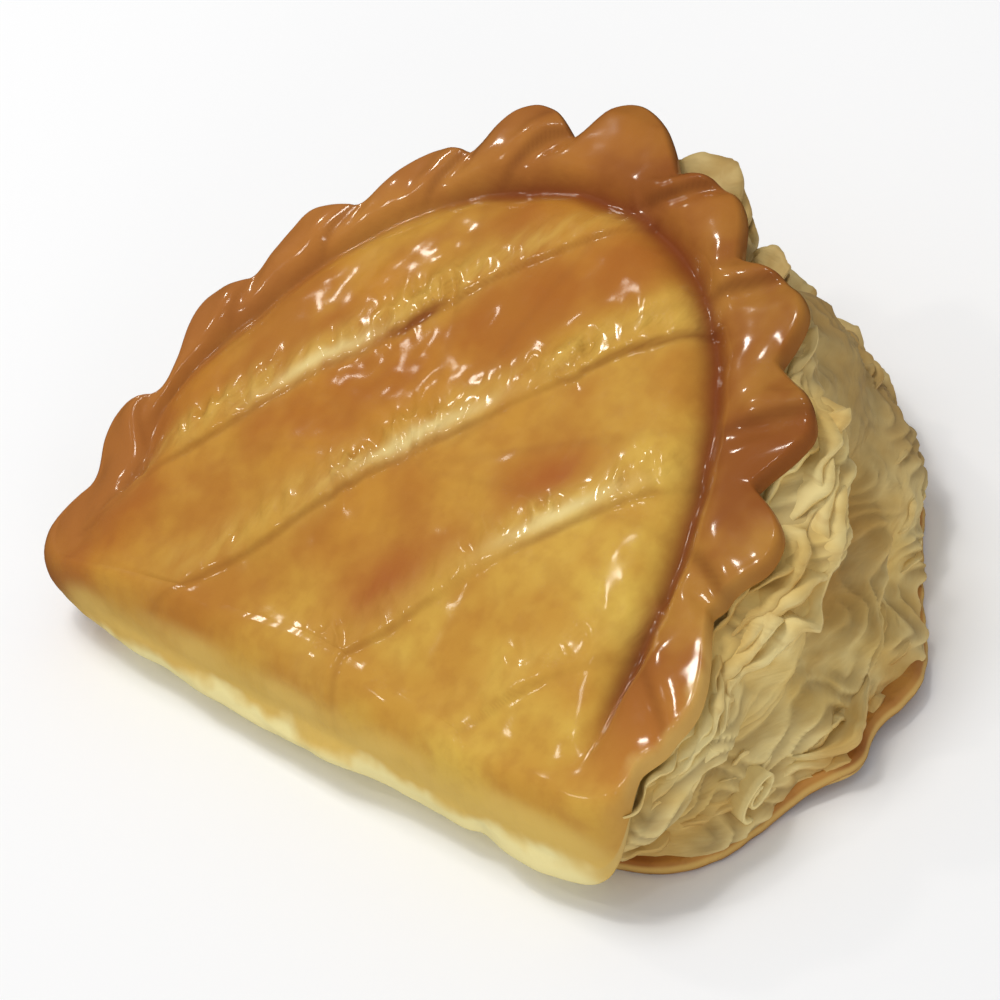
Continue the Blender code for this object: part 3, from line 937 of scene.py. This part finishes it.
# %% Signals
class Signal:
    """One number that changes over the surface."""

    def __init__(self, finish, socket):
        self.finish = finish
        self.socket = socket

    def _math(self, operation, *terms, clamp=False):
        """One Math node on signals or plain numbers."""
        made = self.finish.node("ShaderNodeMath", dict(operation=operation, use_clamp=clamp), terms)
        return Signal(self.finish, made.outputs[0])

    def __add__(self, other):
        return self._math("ADD", self, other)

    __radd__ = __add__

    def __sub__(self, other):
        return self._math("SUBTRACT", self, other)

    def __rsub__(self, other):
        return self._math("SUBTRACT", other, self)

    def __mul__(self, other):
        return self._math("MULTIPLY", self, other)

    __rmul__ = __mul__

    def clamp(self):
        """The same signal, kept between 0 and 1."""
        return self._math("ADD", self, 0.0, clamp=True)

    def ease(self, low, high):
        """A soft step of the signal, from 0 at `low` to 1 at `high`."""
        settings = dict(interpolation_type="SMOOTHSTEP")
        values = {"Value": self, "From Min": low, "From Max": high}
        made = self.finish.node("ShaderNodeMapRange", settings, values)
        return Signal(self.finish, made.outputs["Result"])


print("operators on a signal:", [title for title in vars(Signal) if title.startswith("__r")])

# %% [markdown]
# ## A material in the making
# One method makes every node from its kind, its settings and its input values. The others are
# short names for what this pastry needs: a mask that was stored on the mesh, noise measured in
# metres, a blend of two colours and a bump.

# %% Material maker
class Finish:
    """A material in the making."""

    def __init__(self, name):
        self.material = bpy.data.materials.new(name)
        self.material.use_nodes = True
        self.tree = self.material.node_tree
        self.shader = self.tree.nodes["Principled BSDF"]
        self.where = self.node("ShaderNodeTexCoord").outputs["Object"]

    def node(self, kind, settings=None, values=()):
        """Any node, from its kind, its settings and what its inputs get."""
        made = self.tree.nodes.new(kind)
        for key, value in (settings or {}).items():
            setattr(made, key, value)
        pairs = values.items() if isinstance(values, dict) else enumerate(values)
        for key, value in pairs:
            self.feed(made.inputs[key], value)
        return made

    def feed(self, socket, value):
        """Link a signal or a socket to an input, or set a plain value on it."""
        value = getattr(value, "socket", value)
        if isinstance(value, bpy.types.NodeSocket):
            self.tree.links.new(value, socket)
        else:
            socket.default_value = value

    def place(self):
        """The object's own x, y and z as three signals."""
        parts = self.node("ShaderNodeSeparateXYZ", values=(self.where,))
        return [Signal(self, socket) for socket in parts.outputs]

    def mask(self, title):
        """A mask that was stored on the mesh."""
        return Signal(self, self.node("ShaderNodeAttribute", dict(attribute_name=title)).outputs["Fac"])

    def grain(self, size, detail=3.0, stretch=(1.0, 1.0, 1.0), turn=0.0, shift=0.0):
        """Noise from 0 to 1 whose features are about `size` metres long."""
        place = self.node("ShaderNodeMapping", values={
            "Vector": self.where, "Rotation": (0.0, 0.0, turn), "Location": (shift, shift, shift),
            "Scale": tuple(part / size for part in stretch)})
        values = {"Vector": place.outputs[0], "Scale": 1.0, "Detail": detail}
        made = self.node("ShaderNodeTexNoise", values=values)
        return Signal(self, made.outputs["Fac"])

    def mix(self, share, first, second):
        """Blend two colours, each a tuple or the output of another blend."""
        made = self.node("ShaderNodeMix", dict(data_type="RGBA", clamp_factor=True))
        self.feed(made.inputs["Factor"], share)
        colours = [socket for socket in made.inputs if socket.type == "RGBA"]
        self.feed(colours[0], first)
        self.feed(colours[1], second)
        return next(socket for socket in made.outputs if socket.type == "RGBA")

    def bump(self, height, distance, strength=1.0, under=None):
        """Small relief in the shading, laid over another bump if there is one."""
        values = {"Height": height, "Distance": distance, "Strength": strength}
        if under is not None:
            values["Normal"] = under
        return self.node("ShaderNodeBump", values=values).outputs[0]

    def set(self, **values):
        """Feed the shader's inputs by their names, and give back the material."""
        for title, value in values.items():
            self.feed(self.shader.inputs[title.replace("_", " ").title()], value)
        return self.material


print("helpers of a finish:", [title for title in vars(Finish) if not title.startswith("_")])

# %% [markdown]
# ## Colours as they look
# Colours are written as they look on a screen, while a shader counts in linear light. One
# function turns the one into the other, so the finishes below hold colours that can be read.

# %% Tones
def tone(red, green, blue):
    """A colour given as it looks on a screen, from 0 to 255."""
    straight = []
    for part in (red, green, blue):
        share = part / 255.0
        straight.append(share / 12.92 if share <= 0.04045 else ((share + 0.055) / 1.055) ** 2.4)
    return (*straight, 1.0)


print("golden crust as linear light:", [round(part, 3) for part in tone(188, 126, 44)])

# %% [markdown]
# ## Tones of the crust
# The oven browns what stands up and what is thin. The swollen banks of the slashes stay pale,
# two places in the middle are darker, the rim is brown and the side of the fold is nearly
# raw. Each of these is a small function that lays its tones over the gold by its own masks.

# %% Tones of the crust
def slash_tones(look, gold, mottle, streak):
    """Paler on the swollen banks and the stretched dough, darker in the two dark places."""
    bank = look.mask("bank") * (0.35 + 0.6 * streak.ease(0.35, 0.65)) * (0.55 + 0.4 * mottle)
    gold = look.mix(bank * 0.9, gold, tone(226, 188, 92))
    gold = look.mix(look.mask("torn") * (0.50 + 0.5 * streak), gold, tone(238, 216, 148))
    return look.mix(look.mask("spot") * (0.50 + 0.45 * streak), gold, tone(160, 76, 34))


def rim_tone(look, mottle, near, left_painted_light):
    """The rim's own brown, lighter at the near end, with painted light at the left end, which the key lamp
    leaves in shade.
    """
    brown = look.mix(mottle, tone(166, 102, 43), tone(146, 84, 34))
    brown = look.mix(look.mask("outer") * 0.5, brown, tone(138, 74, 29))
    brown = look.mix(near * 0.75, brown, tone(196, 124, 50))
    # painted light: lifts the rim at the left, where the key lamp leaves it in shade
    return look.mix(left_painted_light * 0.6, brown, tone(190, 124, 58))


def fold_tones(look, gold, mottle, near, low):
    """Yellow and then cream down the side of the fold, which the oven hardly browned."""
    lower = low + (0.22 * mottle + 0.12 * near) * low.ease(0.05, 0.30)
    gold = look.mix(lower.ease(0.12, 0.55) * 0.8, gold, tone(226, 190, 100))
    return look.mix(lower.ease(0.58, 0.76), gold, tone(242, 226, 160))


print("cream of the fold as linear light:", [round(part, 3) for part in tone(242, 226, 160)])

# %% [markdown]
# ## Crust glaze
# Egg wash bakes to a thin clear coat over golden dough. The colour runs from yellow gold at
# the near corner to brown at the left tip and on the rim, and it is darkest in the pressed
# groove. Masks from the mesh say where each part is, and noise breaks their edges up.

# %% Crust finish
def crust_finish():
    """Golden dough under a thin glaze."""
    look = Finish("glazed_pastry")
    mottle = look.grain(0.014, detail=3.0, shift=2.0).ease(0.35, 0.65)
    cloud = look.grain(0.030, detail=2.0, shift=7.0).ease(0.38, 0.62)
    freckle = look.grain(0.0028, detail=3.0, shift=5.0).ease(0.40, 0.70)
    streak = look.grain(0.0030, detail=3.0, stretch=(1.0, 0.25, 1.0), turn=-SLASH_HEADING, shift=3.0)
    x, y, _ = look.place()
    yellow = (x * 12.0 - y * 7.0).ease(-0.10, 0.75)
    near = (x * 9.0 - y * 9.0).ease(0.55, 0.95)
    # painted light for the left of the rim, where the key lamp leaves it in shade
    left_painted_light = (x * -1.0).ease(0.000, 0.045)
    tip = (x * -1.0).ease(0.038, 0.057)
    gold = look.mix(mottle, tone(188, 126, 44), tone(168, 100, 36))
    bright = look.mix(mottle, tone(216, 178, 78), tone(200, 150, 60))
    gold = look.mix((yellow * 0.85 + cloud * 0.35).clamp(), gold, bright)
    gold = look.mix(freckle * 0.22, gold, tone(166, 104, 42))
    gold = slash_tones(look, gold, mottle, streak)
    rim = look.mask("rim")
    gold = look.mix(rim * (0.75 + 0.25 * mottle), gold, rim_tone(look, mottle, near, left_painted_light))
    # painted shade along the foot of each slash step and in the slit
    gold = look.mix(look.mask("crease") * 0.6, gold, tone(142, 82, 34))
    # painted shade in the press-mark creases on the rim, carried by the fold mask
    gold = look.mix(look.mask("fold") * 0.55, gold, tone(120, 66, 28))
    gold = look.mix(look.mask("ring") * 0.85, gold, tone(122, 54, 24))
    gold = look.mix(tip * (0.55 + 0.25 * mottle), gold, tone(166, 102, 46))
    low = look.mask("low") * (1.0 - 0.7 * tip)
    gold = fold_tones(look, gold, mottle, near, low)
    gold = look.mix(look.mask("edge") * 0.45, gold, tone(134, 80, 34))
    gold = look.mix(look.mask("bare") * (0.30 + 0.45 * mottle), gold, tone(212, 172, 94))
    gold = look.mix(look.mask("under"), gold, tone(196, 172, 110))
    pores = look.bump(look.grain(0.0022, detail=3.0), 0.00035, strength=0.5)
    crinkle = look.bump(streak * look.mask("bank"), 0.0016, strength=0.7, under=pores)
    look.shader.inputs["Coat Roughness"].default_value = 0.12
    look.shader.inputs["Specular IOR Level"].default_value = 0.12
    wet = (0.15 + 0.35 * cloud + 0.65 * look.mask("bank") + 0.5 * rim).clamp()
    coat = wet * (1.0 - 0.8 * low) * (1.0 - 0.6 * look.mask("edge")) * (1.0 - look.mask("under"))
    dull = 0.42 + 0.15 * mottle
    return look.set(base_color=gold, roughness=dull, coat_weight=coat.clamp(), normal=crinkle)


crust.data.materials.append(crust_finish())
print("nodes in the glaze:", len(crust.data.materials[0].node_tree.nodes))

# %% [markdown]
# ## Dry layers
# The torn layers have no glaze. They are pale and dull, and golden where a bundle stands out
# and was toasted. Painted shade makes them darker in the gaps and the hollow, and olive-brown
# towards the back right, where it stands for shade and partly for toasting. All torn pieces
# share one finish, because they are one dough. An image would need them unwrapped, while noise
# measured in metres fits every leaf as it is.

# %% Layer finish
def layer_finish():
    """Pale, dull dough with fine lines along its layers, and painted shade in its gaps and its hollow."""
    look = Finish("dry_layers")
    patch = look.grain(0.010, detail=3.0, shift=1.0).ease(0.35, 0.65)
    lines = look.grain(0.0020, detail=3.0, stretch=(0.22, 0.22, 2.0), shift=9.0)
    pale = look.mix(patch, tone(232, 211, 146), tone(218, 187, 112))
    pale = look.mix(lines.ease(0.50, 0.75) * 0.40, pale, tone(190, 150, 80))
    pale = look.mix(look.mask("calm") * 0.6, pale, tone(226, 196, 118))
    # painted shade, partly toasted colour: olive-brown towards the back right
    pale = look.mix(look.mask("olive") * (0.55 + 0.35 * patch), pale, tone(168, 134, 76))
    # painted shade in the hollow under the lip
    pale = look.mix(look.mask("hollow") * 0.45, pale, tone(150, 118, 64))
    pale = look.mix(look.mask("toast") * (0.5 + 0.4 * patch), pale, tone(184, 132, 62))
    # painted shade in the gaps between the layers
    pale = look.mix(look.mask("gap") * 0.6, pale, tone(128, 98, 52))
    pale = look.mix(look.mask("tip").ease(0.86, 1.0) * 0.35 * patch, pale, tone(186, 144, 78))
    rough = look.bump(lines, 0.0007, strength=0.5)
    return look.set(base_color=pale, roughness=0.66 + 0.2 * patch, normal=rough)


dry_layers = layer_finish()
for piece in (wall, upper, lower, roll, back_side):
    piece.data.materials.append(dry_layers)
print("pieces with dry layers:", dry_layers.users)

# %% [markdown]
# ## Browned sheet
# The bottom lay on the baking tray. It is evenly browned, with paler specks where the dough
# was not pressed to the metal, and its thin edge is lighter than the rest. The crust's finish
# would look varnished here, as no egg wash gets under the pastry, so the sheet has its own.

# %% Sheet finish
def sheet_finish():
    """Even brown with paler specks below."""
    look = Finish("browned_sheet")
    mottle = look.grain(0.009, detail=4.0, shift=4.0).ease(0.35, 0.65)
    spots = look.grain(0.0024, detail=3.0, shift=6.0).ease(0.5, 0.75)
    brown = look.mix(mottle, tone(186, 130, 56), tone(160, 100, 40))
    brown = look.mix(look.mask("lip").ease(0.7, 1.0) * 0.7, brown, tone(214, 178, 98))
    below = look.mix(mottle, tone(176, 124, 58), tone(136, 86, 40))
    below = look.mix(spots * 0.5, below, tone(206, 170, 104))
    colour = look.mix(look.mask("under"), brown, below)
    specks = look.bump(spots, 0.0003, strength=0.5)
    return look.set(base_color=colour, roughness=0.5 + 0.2 * mottle, normal=specks)


sheet.data.materials.append(sheet_finish())
print("sheet finish:", sheet.data.materials[0].name)

# %% [markdown]
# ## Camera
# The camera stands at the photo's angle, 37 degrees up and 57 degrees round from the fold, and
# leans over by twenty degrees. It could be turned by hand over a backdrop, but as three angles
# it can be read and changed. Its axes are worked out first, because the lamps are placed by
# them too. A long lens from half a metre keeps the shape free of strong perspective.

# %% Camera
AZIMUTH, ELEVATION, LEAN = math.radians(57.0), math.radians(37.0), math.radians(20.0)
DISTANCE = 0.540
LENS = 141.6
OFF_CENTRE = (0.0101, 0.0092)  # how far right and up the pastry sits in the photo
back = Vector((math.sin(AZIMUTH) * math.cos(ELEVATION), -math.cos(AZIMUTH) * math.cos(ELEVATION),
               math.sin(ELEVATION)))
level_right = Vector((math.cos(AZIMUTH), math.sin(AZIMUTH), 0.0))
level_up = back.cross(level_right)
right = level_right * math.cos(LEAN) - level_up * math.sin(LEAN)
up = level_right * math.sin(LEAN) + level_up * math.cos(LEAN)
target = PLAN_ORIGIN + Vector((0.0, 0.055, 0.015))
aim = target - right * OFF_CENTRE[0] - up * OFF_CENTRE[1]
camera_place = target + back * DISTANCE
sight = (camera_place - aim).normalized()
camera_right = (right - sight * right.dot(sight)).normalized()
camera_up = sight.cross(camera_right)
camera_data = bpy.data.cameras.new("photo_camera")
camera_data.lens = LENS
camera = bpy.data.objects.new("photo_camera", camera_data)
turned_axes = Matrix((camera_right, camera_up, sight)).transposed().to_4x4()
camera.matrix_world = Matrix.Translation(camera_place) @ turned_axes
bpy.context.scene.collection.objects.link(camera)
bpy.context.scene.camera = camera
print("camera height, mm:", mm(camera_place.z))

# %% [markdown]
# ## Floor
# The pastry lies on plain pale paper. A curved backdrop would hide a horizon, but the camera
# looks down and sees none, so one flat square is enough. The paper is kept out of reflections,
# so that the glaze on the lower edges shows its own brown and not a white haze.

# %% Floor
floor_maker = bmesh.new()
bmesh.ops.create_grid(floor_maker, x_segments=1, y_segments=1, size=3.0)
floor_mesh = bpy.data.meshes.new("pale_floor")
floor_maker.to_mesh(floor_mesh)
floor_maker.free()
floor = bpy.data.objects.new("pale_floor", floor_mesh)
bpy.context.scene.collection.objects.link(floor)
paper = Finish("pale_paper")
floor_mesh.materials.append(paper.set(base_color=tone(244, 244, 245), roughness=0.9))
floor.visible_glossy = False
print("floor, m:", [round(side, 1) for side in floor.dimensions[:2]])

# %% [markdown]
# ## Lights
# White light all round and a large soft lamp from the upper left, so that the shadow falls to
# the lower right. Small lamps give the glaze its glints. The large lamps are kept out of
# reflections, because a real glaze shows small bright windows and not one broad sheen.

# %% Lights
def lamp(name, direction, distance, size, power, reflects=True):
    """A round soft lamp that faces the pastry from one direction."""
    data = bpy.data.lights.new(name, "AREA")
    data.shape, data.size, data.energy = "DISK", size, power
    data.color = (1.0, 0.95, 0.86) if reflects else (1.0, 1.0, 1.0)
    light = bpy.data.objects.new(name, data)
    way = direction.normalized()
    light.location = target + way * distance
    light.rotation_mode = "QUATERNION"
    light.rotation_quaternion = way.to_track_quat("Z", "Y")
    light.visible_glossy = reflects
    bpy.context.scene.collection.objects.link(light)
    return light


lamp("soft_key", -0.46 * right + 0.82 * up + 0.36 * back, 0.9, 0.42, 3.2, reflects=False)
lamp("front_fill", 0.20 * right - 0.40 * up + 0.9 * back, 1.2, 0.60, 3.0, reflects=False)
lamp("glint_high", -0.42 * right + 0.78 * up + 0.46 * back, 1.0, 0.09, 0.8)
lamp("glint_left", -0.80 * right + 0.50 * up + 0.34 * back, 1.0, 0.07, 0.5)
lamp("glint_bank", -0.62 * right + 0.76 * up - 0.18 * back, 1.0, 0.07, 0.6)
lamp("glint_front", -0.35 * right + 0.45 * up + 0.80 * back, 1.0, 0.05, 0.25)
world = bpy.data.worlds.new("soft_room")
bpy.context.scene.world = world
world.use_nodes = True
world.node_tree.nodes["Background"].inputs["Color"].default_value = (0.96, 0.98, 1.0, 1.0)
world.node_tree.nodes["Background"].inputs["Strength"].default_value = 0.53
world.cycles_visibility.glossy = False
bpy.context.scene.view_settings.view_transform = "Standard"
print("lamps:", len(bpy.data.lights))

# %% [markdown]

# %% [markdown]
# Last the finished pieces are named.

# %% Finish
print("finished pieces:", [piece.name for piece in (crust, wall, upper, lower, roll, back_side, sheet)])
